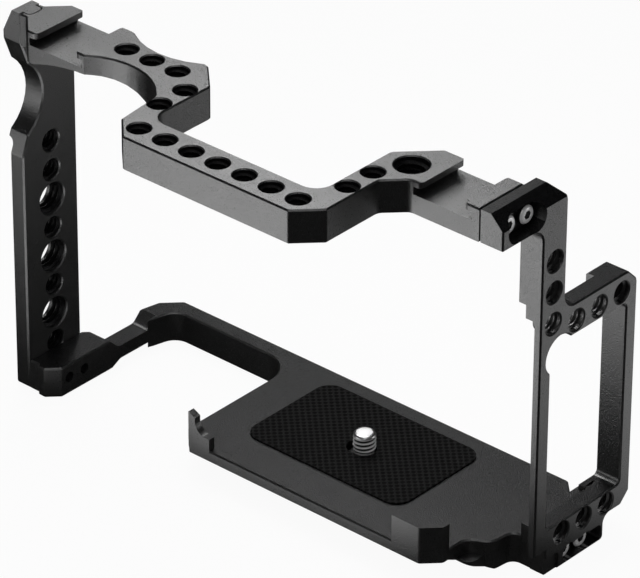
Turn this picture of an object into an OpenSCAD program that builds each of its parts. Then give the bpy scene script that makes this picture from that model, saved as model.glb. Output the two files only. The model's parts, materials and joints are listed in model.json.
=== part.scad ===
/* [Cage] */
// Camera screw axis to the inner face of the grip post
post_reach = 100.9; // [99:0.1:112]
// Camera screw axis to the inner face of the port frame
frame_reach = 59.1; // [58.8:0.1:66]
// Camera seat to the top face of the top plate
top_h = 109; // [105:0.5:130]
// Camera seat to the underside of the base plate
base_h = 10; // [9.6:0.1:12]
// Break on the outer edges of the machined parts
edge_break = 0.45; // [0.2:0.05:0.6]

/* [Top plate] */
// Thickness of the top plate
top_t = 10; // [9:0.1:12]
// Camera screw axis to the front edge of the hump
hump_front = 58; // [55:0.5:66]
// Width of the front bar
bar_w = 12.3; // [11:0.1:14]
// Camera screw axis to the left side of the hump
hump_left = 42.4; // [41:0.1:44]
// Width of the left leg of the hump
leg_left_w = 7.3; // [7.2:0.1:9]
// Camera screw axis to the right side of the hump
hump_right = 30.5; // [29:0.1:31]
// Width of the right leg of the hump
leg_right_w = 7.7; // [7.2:0.1:9]
// Corner cut at the front of the hump
hump_cut = 7; // [5:0.1:9]
// Camera screw axis to the front edge of the left wing
wing_front = 32.6; // [31.5:0.1:36]
// Camera screw axis to the back edge of the left wing
wing_back = 13.8; // [12:0.1:15]
// Camera screw axis to the front edge of the right wing
arm_front = 25.2; // [24:0.1:27]
// Camera screw axis to the back edge of the right wing
arm_back = 7.5; // [6:0.1:8]
// Radius of the finger scallop in the front of the left wing
scallop_r = 22; // [21:0.1:24]
// Radius of the scallop in the back of the left wing
bay_r = 24.2; // [22:0.1:25]
// Height of the arch under the left wing
arch_h = 4.2; // [2:0.1:4.4]
// Radius of the arch under the left wing
arch_r = 60; // [50:1:70]

/* [Shoes] */
// Clear width between the lips of a shoe
shoe_gap = 14.2; // [13:0.1:15]
// Width of the shoe recess under the lips
shoe_w = 19.5; // [18.6:0.1:20]
// Thickness of the shoe lips
lip_t = 1.8; // [1.5:0.1:2.2]
// Height of the shoe recess under the lips
recess_h = 2.3; // [2:0.1:2.4]

/* [Grip post] */
// Thickness of the grip post
post_t = 7; // [6:0.1:9]
// Camera screw axis to the front edge of the grip post
post_front = 27.4; // [27:0.1:30]
// Camera screw axis to the back edge of the grip post
post_back = 6.2; // [5:0.1:8]
// Depth of the relief along the outer front edge
post_relief = 2.4; // [1:0.1:3]
// Top of the top plate to the top of the relief
relief_drop = 40.4; // [35:0.5:48]
// Radius of the finger scallop in the front edge
grip_r = 13.8; // [12:0.1:15]
// Length of the key that enters the top plate
key_l = 2.3; // [1.5:0.1:3]
// Width of the key that enters the top plate
key_w = 4.8; // [4:0.1:6]

/* [Base plate] */
// Height of the camera pad above the plate
pad_stand = 0.5; // [0.3:0.1:1]
// Camera screw axis to the front edge of the plate
base_front = 28.6; // [27.5:0.1:32]
// Camera screw axis to the back edge of the plate
base_back = 25.5; // [25:0.1:30]
// Camera screw axis to the left edge of the plate
base_left = 44; // [42:0.1:48]
// Width of the rail behind the battery opening
rail_w = 5.4; // [5:0.1:6]
// Width of the arm that runs to the grip post
arm_w = 5.8; // [5:0.1:8]
// Thickness of the front strip
strip_t = 3.25; // [3:0.05:4]
// Height of the front left tab above the plate
tab_h = 9.7; // [7:0.1:12]
// Thickness of the front left tab
tab_t = 2.2; // [1.8:0.1:3]
// Width of the front left tab
tab_w = 7.6; // [7:0.1:9]
// Height of the front right block above the plate
block_h = 8; // [5:0.1:10]
// Width of the front right block
block_w = 14.2; // [12:0.1:16]
// Depth of the front right block
block_d = 7; // [6:0.1:8]
// Height of the end rib above the plate
rib_h = 3.8; // [3:0.1:5]

/* [Camera pad] */
// Length of the camera pad
pad_l = 56.3; // [50:0.1:60]
// Width of the camera pad
pad_w = 35.6; // [32:0.1:38]
// Thickness of the camera pad
pad_t = 1.5; // [1.2:0.1:2]
// Corner radius of the camera pad
pad_r = 5; // [3:0.1:8]

/* [Camera screw] */
// Height of the camera screw above the seat
stud_h = 5.6; // [4.5:0.1:6]
// Travel of the camera screw along its slot
slot_travel = 2.2; // [1:0.1:3]
// Drop of the camera screw when it is loose
stud_drop = 2; // [1:0.1:2.2]
// Diameter of the camera screw head
knob_d = 11; // [10:0.1:12]
// Height of the camera screw head
knob_h = 2.9; // [2.5:0.1:3]

/* [Port frame] */
// Thickness of the port frame
frame_t = 7.9; // [7.5:0.1:9]
// Camera screw axis to the front edge of the upper bar
bar_front = 8.6; // [8.2:0.1:9]
// Camera screw axis to the back edge of the upper bar
bar_back = 1.2; // [0.8:0.1:2]
// Camera screw axis to the back edge of the frame
frame_back = 31.5; // [31:0.1:34]
// Top of the top plate to the shelf of the frame
shelf_drop = 38.3; // [36:0.1:40]
// Wall between the shelf and the window
shelf_wall = 9.6; // [9.5:0.1:12]
// Width of the window
window_w = 31.2; // [28:0.1:31.2]
// Depth of the pocket round the head screws
pocket_d = 5; // [4:0.1:5.2]
// Depth of the pocket round the foot screws
foot_pocket_d = 3.7; // [3:0.1:3.8]

/* [Threaded holes] */
// Thread diameter of the camera screw and of the small holes
small_d = 6.35; // [6:0.01:6.5]
// Thread diameter of the large holes
large_d = 9.525; // [9:0.005:10]
// Break at the mouth of a threaded hole
mouth_c = 0.35; // [0.2:0.05:0.4]
// Distance between the holes of a row
hole_pitch = 9.2; // [8.8:0.1:9.3]
// Distance between the holes of the port frame
frame_pitch = 9.4; // [9:0.1:9.5]

/* [Joint screws] */
// Thread diameter of the joint screws
joint_d = 3; // [2.5:0.1:3.2]
// Head diameter of the joint screws
joint_head_d = 5.3; // [5:0.1:5.5]
// Head height of the joint screws
joint_head_h = 1.9; // [1.5:0.1:2]
// Socket width of the joint screws
joint_socket = 2; // [1.5:0.1:2.5]

/* [Hidden] */

// Overrun of every cut
over = 1;
// Overrun of the edge breaks
lap = 0.2;
// Clearance of a piece that is seated
fit = 0.05;
// Clearance of a piece that slides
run = 0.25;
// Segments in a quarter turn of an outline
steps = 8;
// Facets of a round bore and of a large round
fine = 48;
wide = 144;

// Heights and outer faces that the pieces share
top_under = top_h - top_t;
base_top = -pad_stand;
frame_out = frame_reach + frame_t;
post_out = post_reach + post_t;
// Small, middle and large corner radius of the outlines
soft_r = 0.8;
mid_r = 1.6;
big_r = 2.4;
// Share of a bay's radius that its own corner takes
bay_share = 0.96;

// Places on the top plate
bar_inner = hump_front - bar_w;
leg_left_in = hump_left - leg_left_w;
leg_right_in = hump_right - leg_right_w;
bay_corner_r = 5;
ear_x = 32.8;
ear_front_x = 36.2;
hip_x = 43.6;
hip_y = 14.4;
scallop_c = [-59.2, -50.6];
bay_c = [-57.5, 6.3];
bay_ease = 1.8;
arch_x = 70;
row_mid_x = 6;
wing_row_x = 56.5;
wing_row_y = 22.4;
leg_row_y = 33.7;
leg_pitch = 9.9;
large_at = [31.5, -19.2];
shoe_left_x = 82.3;
lip_r = 1.5;
shoe_right_x = 46.9;
shoe_floor = top_h - lip_t - recess_h;

// Places on the grip post
head_front = 27;
head_back = 19.2;
wing_lead = 2.3;
wing_tail = 1.5;
key_y = (head_front + head_back) / 2;
key_r = 1.2;
grip_top = 9.4;
grip_drop = 27.1;
grip_y = 33.2;
grip_c = [-grip_y, top_h - grip_drop];
grip_toe_drop = 44.5;
grip_toe_h = top_h - grip_toe_drop;
grip_in = 24.3;
grip_toe_in = 25.1;
post_bevel_w = 3.8;
post_bevel_h = 7.9;
relief_r = 2.2;
relief_w = 4.6;
relief_h = top_h - relief_drop;
post_row_y = 16.4;
post_row_z = 1.1;
post_row_drop = 43;
post_gaps = floor((top_h - post_row_drop - post_row_z) / hole_pitch);

// Places on the base plate
foot_front = 27.9;
foot_cut = 3.6;
foot_notch = 3.2;
foot_set = 1;
arm_l = 9.9;
arm_in = post_reach - arm_l;
arm_step = 4.1;
knee_y = 14.2;
knee_w = 2.4;
knee_y_in = 11;
knee_r = 4.6;
rail_cut = 5.3;
rail_end = 5.4;
rail_out = post_reach - rail_end;
rail_r = 9.6;
left_cut = 5.4;
block_right = 48.5;
block_cut = 4.6;
wave_in_y = 14.8;
wave_out_x = 54.9;
wave_out_y = 11.4;
wave_r = 4.6;
rib_front = 3.6;
rib_back = 20.5;
rib_in = 58.3;
seat_in = 2.7;
seat_x = frame_reach + seat_in;
tail_cut = 5;
ledge_x = 55.8;
ledge_y = 18.8;
ledge_end = 53.2;
ledge_drop = 4.2;
slope_front = 22;
slope_share = 0.5;
dip_y = 4.8;
dip_h = 3.3;
rise_h = 2.1;
tab_left = 38.9;
tab_tip = 2.4;
tab_step = 1.2;
tab_foot_h = 3.7;
tripod_small = [-19, 2];
tripod_large = [17, 2];

// Places on the camera screw
pad_mid_x = -2.35;
pad_mid_y = 2;
clip_t = 0.6;
clip_gap = 0.1;
clip_d = 9;
clip_mouth = 4;
groove_d = 5;
groove_w = 0.7;
neck_d = 5.4;
neck_top = 0.3;
washer_d = 12;
washer_t = 0.5;
flush = 0.2;
knob_slot_w = 1.5;
knob_slot_h = 1.3;
stud_flat_d = 4.5;
clip_z = -pad_t - clip_gap - clip_t;
washer_z = -base_h + flush + knob_h;
seat_z = washer_z + washer_t;

// Places on the port frame
shelf_h = top_h - shelf_drop;
head_y = 25.1;
bar_slope = 4.3;
shelf_cut = 3.9;
shelf_r = 4.3;
foot_step_y = 3.9;
foot_step_z = 1.9;
foot_back = 20.9;
foot_rise = 2.7;
foot_slope = 3.5;
web_t = 4.5;
lip_in = 19.5;
lip_rise = 3.7;
lip_top = shelf_h + lip_rise;
web_drop = 0.3;
web_top = shelf_h - web_drop;
bevel_x = 2.2;
bevel_y = 4.1;
window_z = 4.6;
window_back = 27.2;
window_top = shelf_h - shelf_wall;
bulge_drop = 3.6;
bulge_c = [0, window_top - bulge_drop];
bulge_r = 5.8;
col_y = 3.6;
col_drop = 2.2;
col_z = shelf_h - col_drop;
shelf_row_y = 15.6;
shelf_row_drop = 5.4;
shelf_row_z = shelf_h - shelf_row_drop;
sill_row_y = 12.1;
sill_row_z = 0.95;
frame_bevel = 4.2;
foot_relief = 0.8;
foot_relief_y = 1.7;
foot_relief_z = 4.4;

// Places of the joint screws
head_seat_x = frame_out - pocket_d + joint_head_h;
foot_seat_x = frame_out - foot_pocket_d + joint_head_h;
joint_wall = 0.2;
head_row_y = 15.2;
head_row_pitch = 7.3;
head_row_z = shoe_floor - joint_d / 2 - joint_wall;
foot_row_y = 9.9;
foot_row_pitch = 7.2;
foot_row_z = 6.9;
head_pocket_r = 4;
foot_pocket_y = 4.6;
foot_pocket_w = 15.3;
foot_pocket_z = 9.3;
foot_pocket_h = 4.7;
foot_pocket_lean = 3.8;
heel_row_y = 18.35;
heel_row_pitch = 6.1;
heel_row_z = 4.6;
heel_sink = 2.1;
key_sink = 2.6;
key_screw_drop = 6.6;
key_screw_z = top_h - key_screw_drop;
head_screw_l = 9.6;
foot_screw_l = 12;
heel_screw_l = 14.5;
heel_hole_l = post_out - heel_sink + joint_head_h - arm_in + over;
key_screw_l = 14;

// Unit vector along v
function unit(v) = v / norm(v);
function xy(p) = [p.x, p.y];
// Arc of the corner p between its neighbours a and b
function corner(a, p, b, r) =
  r <= 0 ? [p] :
  let (
    u = unit(a - p),
    w = unit(b - p),
    half = acos(u * w) / 2,
    c = p + unit(u + w) * r / sin(half),
    s = p + u * r / tan(half) - c,
    e = p + w * r / tan(half) - c,
    a0 = atan2(s.y, s.x),
    turn = (atan2(e.y, e.x) - a0 + 540) % 360 - 180,
    n = max(2, ceil(steps * abs(turn) / 90))
  )
  [for (i = [0:n]) c + r * [cos(a0 + turn * i / n), sin(a0 + turn * i / n)]];
// Outline through the corners q, each with x, y and corner radius
function rounded(q) =
  let (k = len(q))
  [for (i = [0:k - 1])
    each corner(xy(q[(i + k - 1) % k]), xy(q[i]), xy(q[(i + 1) % k]), q[i].z)];
// Points of an arc with centre c, as corners of no radius
function arc(c, r, a0, a1) =
  let (n = ceil(steps * abs(a1 - a0) / 90))
  [for (i = [0:n]) let (a = a0 + (a1 - a0) * i / n) [c.x + r * cos(a), c.y + r * sin(a), 0]];
// The outline q the other way round, for the edge of an opening
function turned(q) = [for (i = [len(q) - 1:-1:0]) q[i]];
// Corners of a bay with centre c, from angle a0 to a1, with eased ends
function bay(c, r, a0, a1, ease0, ease1) =
  let (m = (a0 + a1) / 2, h = abs(a1 - a0) / 2, t = r / cos(h))
  [
    [c.x + r * cos(a0), c.y + r * sin(a0), ease0],
    [c.x + t * cos(m), c.y + t * sin(m), r * bay_share],
    [c.x + r * cos(a1), c.y + r * sin(a1), ease1],
  ];
// Outline p moved outward by d
function grown(p, d) =
  let (k = len(p))
  [for (i = [0:k - 1])
    let (
      u = unit(p[i] - p[(i + k - 1) % k]),
      w = unit(p[(i + 1) % k] - p[i]),
      n = unit([u.y + w.y, -u.x - w.x])
    )
    p[i] + n * d / (n * [u.y, -u.x])];

// Ring that breaks the edge of the outline p at height z, on the side s
module edge_ring(p, z, s, c) {
  k = len(p);
  sides = 4;
  a = grown(p, -c - lap);
  b = grown(p, lap);
  pts = concat(
    [for (v = a) [v.x, v.y, z + s * lap]],
    [for (v = p) [v.x, v.y, z - s * c]],
    [for (v = b) [v.x, v.y, z - s * c]],
    [for (v = b) [v.x, v.y, z + s * lap]]);
  tris = [for (i = [0:k - 1], f = [0:sides - 1])
    let (j = (i + 1) % k, m = f * k, n = (f + 1) % sides * k)
    each [[m + i, m + j, n + j], [m + i, n + j, n + i]]];
  polyhedron(pts, s < 0 ? tris : [for (t = tris) [t[2], t[1], t[0]]]);
}
// Plate from z0 to z1 with broken edges
module slab(q, z0, z1) {
  p = rounded(q);
  difference() {
    translate([0, 0, z0])
      linear_extrude(z1 - z0)
        polygon(p);
    edge_ring(p, z1, 1, edge_break);
    edge_ring(p, z0, -1, edge_break);
  }
}
// Plain prism from z0 to z1
module prism(q, z0, z1) {
  translate([0, 0, z0])
    linear_extrude(z1 - z0)
      polygon(rounded(q));
}
// Turns a shape drawn in Y and Z, with its height along X
module across() {
  rotate([90, 0, 90])
    children();
}
// Turns a shape drawn in X and Z, with its height toward the front
module along() {
  rotate([90, 0, 0])
    children();
}
// Box between the corners a and b
module box(a, b) {
  translate(a)
    cube(b - a);
}
// Threaded bore with a break at both mouths, down from the face at the origin
module bore(d, l) {
  cone = d / 2 + mouth_c + over;
  translate([0, 0, -l - over])
    cylinder(d = d, h = l + 2 * over, $fn = fine);
  translate([0, 0, -mouth_c])
    cylinder(r1 = d / 2, r2 = cone, h = mouth_c + over, $fn = fine);
  translate([0, 0, -l - over])
    cylinder(r1 = cone, r2 = d / 2, h = mouth_c + over, $fn = fine);
}
// Threaded bore along X through a wall from x0 to x1
module side_bore(d, x0, x1, y, z) {
  translate([x1, y, z])
    rotate([0, 90, 0])
      bore(d, x1 - x0);
}
// Slot with round ends that runs to the left of the origin
module round_slot(r, travel, z0, z1) {
  for (x = [-travel, 0])
    translate([x, 0, z0])
      cylinder(r = r, h = z1 - z0, $fn = fine);
  box([-travel, -r, z0], [0, r, z1]);
}
// Joint screw from its head face at the origin down
module joint_screw(l) {
  ease = edge_break / 2;
  difference() {
    union() {
      translate([0, 0, -ease])
        cylinder(r1 = joint_head_d / 2, r2 = joint_head_d / 2 - ease, h = ease, $fn = fine);
      translate([0, 0, -joint_head_h])
        cylinder(d = joint_head_d, h = joint_head_h - ease, $fn = fine);
      translate([0, 0, -l])
        cylinder(d = joint_d, h = l - joint_head_h, $fn = fine);
    }
    translate([0, 0, -joint_head_h + joint_wall])
      cylinder(d = joint_socket / cos(30), h = joint_head_h + over, $fn = 6);
  }
}
// Hole for a joint screw, with a seat for its head
module joint_hole(l) {
  translate([0, 0, -l - fit])
    cylinder(d = joint_d + 2 * fit, h = l + over, $fn = fine);
  translate([0, 0, -joint_head_h])
    cylinder(d = joint_head_d + 2 * fit, h = pocket_d + over, $fn = fine);
}
// Places of the joint screws: the face of the head, pointing out of the hole
module at_frame_head(s) {
  translate([head_seat_x, -head_row_y + s * head_row_pitch / 2, head_row_z])
    rotate([0, 90, 0])
      children();
}
module at_frame_foot(s) {
  translate([foot_seat_x, foot_row_y + s * foot_row_pitch / 2, -foot_row_z])
    rotate([0, 90, 0])
      children();
}
module at_post_foot(s) {
  translate([-post_out + heel_sink - joint_head_h, -heel_row_y + s * heel_row_pitch / 2, -heel_row_z])
    rotate([0, -90, 0])
      children();
}
module at_post_head() {
  translate([-post_out + key_sink - joint_head_h, -key_y, key_screw_z])
    rotate([0, -90, 0])
      children();
}

// Top plate
top_outline = concat(
  [
    [-post_reach, -head_front, 0],
    [-post_reach + wing_lead, -head_front, soft_r],
    [-post_reach + wing_lead + wing_front - head_front, -wing_front, mid_r],
  ],
  bay(scallop_c, scallop_r,
    180 - asin((-wing_front - scallop_c.y) / scallop_r),
    acos((-hump_left - scallop_c.x) / scallop_r), 0, mid_r),
  [
    [-hump_left + mid_r, -hump_front + hump_cut, soft_r],
    [-hump_left + mid_r + hump_cut, -hump_front, soft_r],
    [hump_right - hump_cut, -hump_front, soft_r],
    [hump_right, -hump_front + hump_cut, soft_r],
    [hump_right, -arm_front - ear_front_x + hump_right, big_r],
    [ear_front_x, -arm_front, big_r],
    [frame_reach, -arm_front, 0],
    [frame_reach, -arm_back, 0],
    [ear_x, -arm_back, mid_r],
    [leg_right_in, -arm_back - ear_x + leg_right_in, big_r],
    [leg_right_in, -bar_inner, bay_corner_r],
    [-leg_left_in, -bar_inner, bay_corner_r],
    [-leg_left_in, -hip_y - hip_x + leg_left_in, mid_r],
    [-hip_x, -hip_y, big_r],
  ],
  bay(bay_c, bay_r,
    asin((-hip_y - bay_c.y) / bay_r),
    -180 - asin((-wing_back - bay_c.y) / bay_r), 0, bay_ease),
  [
    [-post_reach + wing_tail + head_back - wing_back, -wing_back, soft_r],
    [-post_reach + wing_tail, -head_back, soft_r],
    [-post_reach, -head_back, 0],
  ]);
// Corners of one end of the slot between the lips, at y, with the outside toward s
function lip_end(y, s) =
  let (w = shoe_gap / 2, v = w + 2 * lip_r)
  [
    [s * w, y, lip_r],
    [s * v, y, 0],
    [s * v, y + s * over, 0],
    [-s * v, y + s * over, 0],
    [-s * v, y, 0],
    [-s * w, y, lip_r],
  ];
module shoe_cut(x, y0, y1) {
  translate([x, 0, 0])
    prism(concat(lip_end(y1, 1), lip_end(y0, -1)), shoe_floor, top_h + over);
  box([x - shoe_w / 2, y0 - over, shoe_floor], [x + shoe_w / 2, y1 + over, top_h - lip_t]);
}
function key_outline(gap) =
  let (w = key_w / 2 + gap, x = -post_reach + key_l + gap)
  [
    [-post_reach - over, -key_y - w, 0],
    [x, -key_y - w, key_r],
    [x, -key_y + w, key_r],
    [-post_reach - over, -key_y + w, 0],
  ];
module top_plate() {
  color("dimgray")
    difference() {
      slab(top_outline, top_under, top_h);
      shoe_cut(-shoe_left_x, -wing_front, -wing_back);
      shoe_cut(shoe_right_x, -arm_front, -arm_back);
      translate([-arch_x, 0, top_under + arch_h - arch_r])
        along()
          cylinder(r = arch_r, h = hump_front + over, $fn = wide);
      for (i = [-3:3])
        translate([-row_mid_x + i * hole_pitch, -hump_front + bar_w / 2, top_h])
          bore(small_d, top_t);
      for (i = [-1:1])
        translate([-wing_row_x + i * hole_pitch, -wing_row_y, top_h])
          bore(small_d, top_t);
      for (x = [-hump_left + leg_left_w / 2, hump_right - leg_right_w / 2], s = [-1, 1])
        translate([x, -leg_row_y + s * leg_pitch / 2, top_h])
          bore(small_d, top_t);
      translate([large_at.x, large_at.y, top_h])
        bore(large_d, top_t);
      prism(key_outline(fit), top_under - over, top_h + over);
      edge_ring(turned(rounded(key_outline(fit))), top_h, 1, edge_break);
      for (s = [-1, 1])
        at_frame_head(s) joint_hole(head_screw_l);
      at_post_head() joint_hole(key_screw_l);
    }
}

// Grip post
post_outline = concat(
  [
    [-post_front, -base_h, mid_r],
    [-post_back, -base_h, mid_r],
    [-post_back, top_under, mid_r],
    [-head_back, top_under, 0],
    [-head_back, top_h, 0],
    [-head_front, top_h, 0],
    [-head_front, top_h - grip_top, mid_r],
  ],
  bay(grip_c, grip_r,
    acos((-grip_in - grip_c.x) / grip_r),
    -acos((-grip_toe_in - grip_c.x) / grip_r), mid_r, mid_r),
  [[-post_front, grip_toe_h, big_r]]);
module grip_post() {
  color("dimgray")
    difference() {
      union() {
        across()
          slab(post_outline, -post_out, -post_reach);
        prism(key_outline(0), top_under, top_h);
      }
      along()
        prism([
          [-post_out - over, -base_h - over, 0],
          [-post_out + post_relief, -base_h - over, 0],
          [-post_out + post_relief, relief_h, relief_r],
          [-post_out - over, relief_h, 0],
        ], post_front - relief_w, post_front + over);
      along()
        prism([
          [-post_out - over, top_h - post_bevel_h, 0],
          [-post_out, top_h - post_bevel_h, 0],
          [-post_out + post_bevel_w, top_h, 0],
          [-post_out + post_bevel_w, top_h + over, 0],
          [-post_out - over, top_h + over, 0],
        ], 0, post_front + over);
      for (i = [0:post_gaps])
        side_bore(i % 2 == 1 && i < post_gaps ? large_d : small_d, -post_out,
          -post_reach, -post_row_y, post_row_z + i * hole_pitch);
      for (s = [-1, 1])
        at_post_foot(s) joint_hole(heel_screw_l);
      at_post_head() joint_hole(key_screw_l);
    }
}

// Base plate
base_outline = [
  [-post_reach, -foot_front + foot_set, 0],
  [-post_reach + foot_notch, -foot_front + foot_set, 0],
  [-post_reach + foot_notch + foot_set, -foot_front, soft_r],
  [-arm_in - foot_cut, -foot_front, soft_r],
  [-arm_in, -foot_front + foot_cut, soft_r],
  [-arm_in, knee_y_in, big_r],
  [-arm_in + knee_w, base_back - rail_w, knee_r],
  [-base_left, base_back - rail_w, rail_r],
  [-base_left, -base_front + left_cut, mid_r],
  [-base_left + left_cut, -base_front, soft_r],
  [block_right - block_cut, -base_front, mid_r],
  [block_right, -base_front + block_cut, mid_r],
  [block_right, -wave_in_y, wave_r],
  [wave_out_x, -wave_out_y, wave_r],
  [ledge_x, -rib_front, big_r],
  [seat_x, -rib_front, 0],
  [seat_x, rib_back, 0],
  [ledge_x, rib_back, soft_r],
  [ledge_x - tail_cut, base_back, soft_r],
  [-rail_out + rail_cut, base_back, mid_r],
  [-rail_out, base_back - rail_cut, mid_r],
  [-arm_in - arm_w, knee_y, mid_r],
  [-arm_in - arm_w, -post_back + arm_step, mid_r],
  [-post_reach, -post_back, soft_r],
];
block_outline = [
  [block_right - block_w, -base_front, 0],
  [block_right - block_cut, -base_front, mid_r],
  [block_right, -base_front + block_cut, mid_r],
  [block_right, -base_front + block_d, 0],
  [block_right - block_w, -base_front + block_d, 0],
];
tab_outline = [
  [-tab_left, base_top - strip_t, big_r],
  [-tab_left + tab_w, base_top - strip_t, 0],
  [-tab_left + tab_w, base_top + tab_foot_h, 0],
  [-tab_left + tab_tip, base_top + tab_foot_h, tab_foot_h],
  [-tab_left + tab_tip, base_top + tab_h - tab_step, 0],
  [-tab_left, base_top + tab_h, 0],
];
module ledge() {
  translate([0, 0, -base_h])
    linear_extrude(base_h + base_top - ledge_drop)
      polygon(rounded([
        [block_right - big_r, -ledge_y, 0],
        [ledge_end, -ledge_y, big_r],
        [ledge_end, -rib_front, 0],
        [block_right - big_r, -rib_front, 0],
      ]));
}
module end_rib() {
  box([rib_in, -rib_front, base_top - strip_t], [seat_x, rib_back, base_top + rib_h]);
}
// Thin waist of the arm, cut from above and from below
module waist_cut() {
  top = base_top - dip_h;
  under = -base_h + rise_h;
  translate([-post_reach, 0, 0])
    across() {
      prism([
        [-dip_y, base_top + over, 0],
        [-dip_y, base_top, 0],
        [-dip_y + dip_h, top, big_r],
        [knee_y - dip_h, top, big_r],
        [knee_y, base_top, 0],
        [knee_y, base_top + over, 0],
      ], 0, post_reach - arm_in);
      prism([
        [-dip_y, -base_h - over, 0],
        [-dip_y, -base_h, 0],
        [-dip_y + 2 * rise_h, under, big_r],
        [knee_y - rise_h, under, big_r],
        [knee_y, -base_h, 0],
        [knee_y, -base_h - over, 0],
      ], 0, post_reach - arm_in);
    }
}
// Slope under the front of the plate
module slope_cut() {
  rise = base_h - pad_stand - strip_t;
  translate([-base_left - over, 0, 0])
    across()
      prism([
        [-base_front - over, -base_h - over, 0],
        [-base_front - over, base_top - strip_t, 0],
        [-slope_front, base_top - strip_t, 0],
        [-slope_front + rise / slope_share, -base_h, 0],
        [-slope_front + rise / slope_share, -base_h - over, 0],
      ], 0, base_left + ledge_x + 2 * over);
}
module pad_outline(gap) {
  w = pad_l / 2 + gap;
  d = pad_w / 2 + gap;
  translate([pad_mid_x, pad_mid_y])
    polygon(rounded([[-w, -d, pad_r + gap], [w, -d, pad_r + gap], [w, d, pad_r + gap], [-w, d, pad_r + gap]]));
}
module base_plate() {
  pocket = clip_gap + clip_t + stud_drop + clip_gap;
  color("dimgray")
    difference() {
      union() {
        slab(base_outline, -base_h, base_top);
        prism(block_outline, base_top - strip_t, base_top + block_h);
        along()
          prism(tab_outline, base_front - tab_t, base_front);
        ledge();
        end_rib();
      }
      slope_cut();
      waist_cut();
      translate([0, 0, -pad_t])
        linear_extrude(pad_t + over)
          pad_outline(fit);
      round_slot(small_d / 2 + run, slot_travel, -base_h - over, over);
      round_slot(clip_d / 2 + run, slot_travel, -pad_t - pocket, over);
      round_slot(washer_d / 2 + run, slot_travel, -base_h - over, seat_z);
      translate([tripod_small.x, tripod_small.y, -pad_t])
        bore(small_d, base_h - pad_t);
      translate([tripod_large.x, tripod_large.y, -pad_t])
        bore(large_d, base_h - pad_t);
      for (s = [-1, 1]) {
        at_post_foot(s) joint_hole(heel_hole_l);
        at_frame_foot(s) joint_hole(foot_screw_l);
      }
    }
}

// Camera pad
module camera_pad() {
  color("darkslategray")
    difference() {
      translate([0, 0, -pad_t])
        linear_extrude(pad_t)
          pad_outline(0);
      round_slot(small_d / 2 + run, slot_travel, -pad_t - over, over);
    }
}

// Camera screw with its clip and washer
module camera_screw() {
  lead = (small_d - stud_flat_d) / 2;
  color("silver")
    difference() {
      union() {
        translate([0, 0, stud_h - lead])
          cylinder(d1 = small_d, d2 = stud_flat_d, h = lead, $fn = fine);
        translate([0, 0, washer_z])
          cylinder(d = small_d, h = stud_h - lead - washer_z, $fn = fine);
        translate([0, 0, washer_z - knob_h + edge_break])
          cylinder(d = knob_d, h = knob_h - edge_break, $fn = fine);
        translate([0, 0, washer_z - knob_h])
          cylinder(d1 = knob_d - 2 * edge_break, d2 = knob_d, h = edge_break, $fn = fine);
      }
      translate([0, 0, clip_z - (groove_w - clip_t) / 2])
        difference() {
          cylinder(d = small_d + over, h = groove_w, $fn = fine);
          cylinder(d = groove_d, h = groove_w, $fn = fine);
        }
      translate([0, 0, clip_z + clip_t])
        difference() {
          cylinder(d = small_d + over, h = neck_top - clip_z - clip_t, $fn = fine);
          cylinder(d = neck_d, h = neck_top - clip_z - clip_t, $fn = fine);
        }
      box([-knob_d, -knob_slot_w / 2, washer_z - knob_h - over],
        [knob_d, knob_slot_w / 2, washer_z - knob_h + knob_slot_h]);
    }
}
module retaining_clip() {
  color("gray")
    translate([0, 0, clip_z])
      difference() {
        cylinder(d = clip_d, h = clip_t, $fn = fine);
        translate([0, 0, -over])
          cylinder(d = groove_d + 2 * fit, h = clip_t + 2 * over, $fn = fine);
        box([0, -clip_mouth / 2, -over], [clip_d, clip_mouth / 2, clip_t + over]);
      }
}
module slot_washer() {
  color("silver")
    translate([0, 0, washer_z])
      difference() {
        cylinder(d = washer_d, h = washer_t, $fn = fine);
        translate([0, 0, -over])
          cylinder(d = small_d + 2 * run, h = washer_t + 2 * over, $fn = fine);
      }
}

// Port frame
frame_outline = [
  [-foot_step_y, -base_h, soft_r],
  [foot_back, -base_h, mid_r],
  [foot_back, -foot_rise, big_r],
  [frame_back - foot_slope, -foot_rise, soft_r],
  [frame_back, -foot_rise + foot_slope, soft_r],
  [frame_back, shelf_h - shelf_cut, mid_r],
  [frame_back - shelf_cut, shelf_h, mid_r],
  [bar_back, shelf_h, shelf_r],
  [bar_back, top_h - bar_slope, big_r],
  [bar_back - bar_slope, top_h, soft_r],
  [-head_y, top_h, 0],
  [-head_y, top_under, soft_r],
  [-bar_front, top_under, shelf_r],
  [-bar_front, -foot_step_z, 0],
  [-foot_step_y, -foot_step_z, 0],
];
window_front = window_back - window_w;
window_outline = concat(
  [
    [window_front, window_z, mid_r],
    [window_back, window_z, mid_r],
    [window_back, window_top, mid_r],
  ],
  arc(bulge_c, bulge_r,
    asin((window_top - bulge_c.y) / bulge_r),
    360 - acos((window_front - bulge_c.x) / bulge_r)));
module frame_pocket() {
  depth = pocket_d + over;
  translate([frame_out - foot_pocket_d, 0, 0])
    across()
      prism([
        [foot_pocket_y, -foot_pocket_z, soft_r],
        [foot_pocket_y + foot_pocket_w, -foot_pocket_z, soft_r],
        [foot_pocket_y + foot_pocket_w, -foot_pocket_z + foot_pocket_h, mid_r],
        [foot_pocket_y + foot_pocket_lean, -foot_pocket_z + foot_pocket_h, mid_r],
      ], 0, foot_pocket_d + over);
  translate([frame_out - pocket_d, 0, 0]) {
    for (s = [-1, 1])
      translate([0, -head_row_y + s * head_row_pitch / 2, head_row_z])
        rotate([0, 90, 0])
          cylinder(r = head_pocket_r, h = depth, $fn = fine);
    box([0, -head_row_y - head_row_pitch / 2, head_row_z - head_pocket_r],
      [depth, -head_row_y + head_row_pitch / 2, head_row_z + head_pocket_r]);
  }
}
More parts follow.
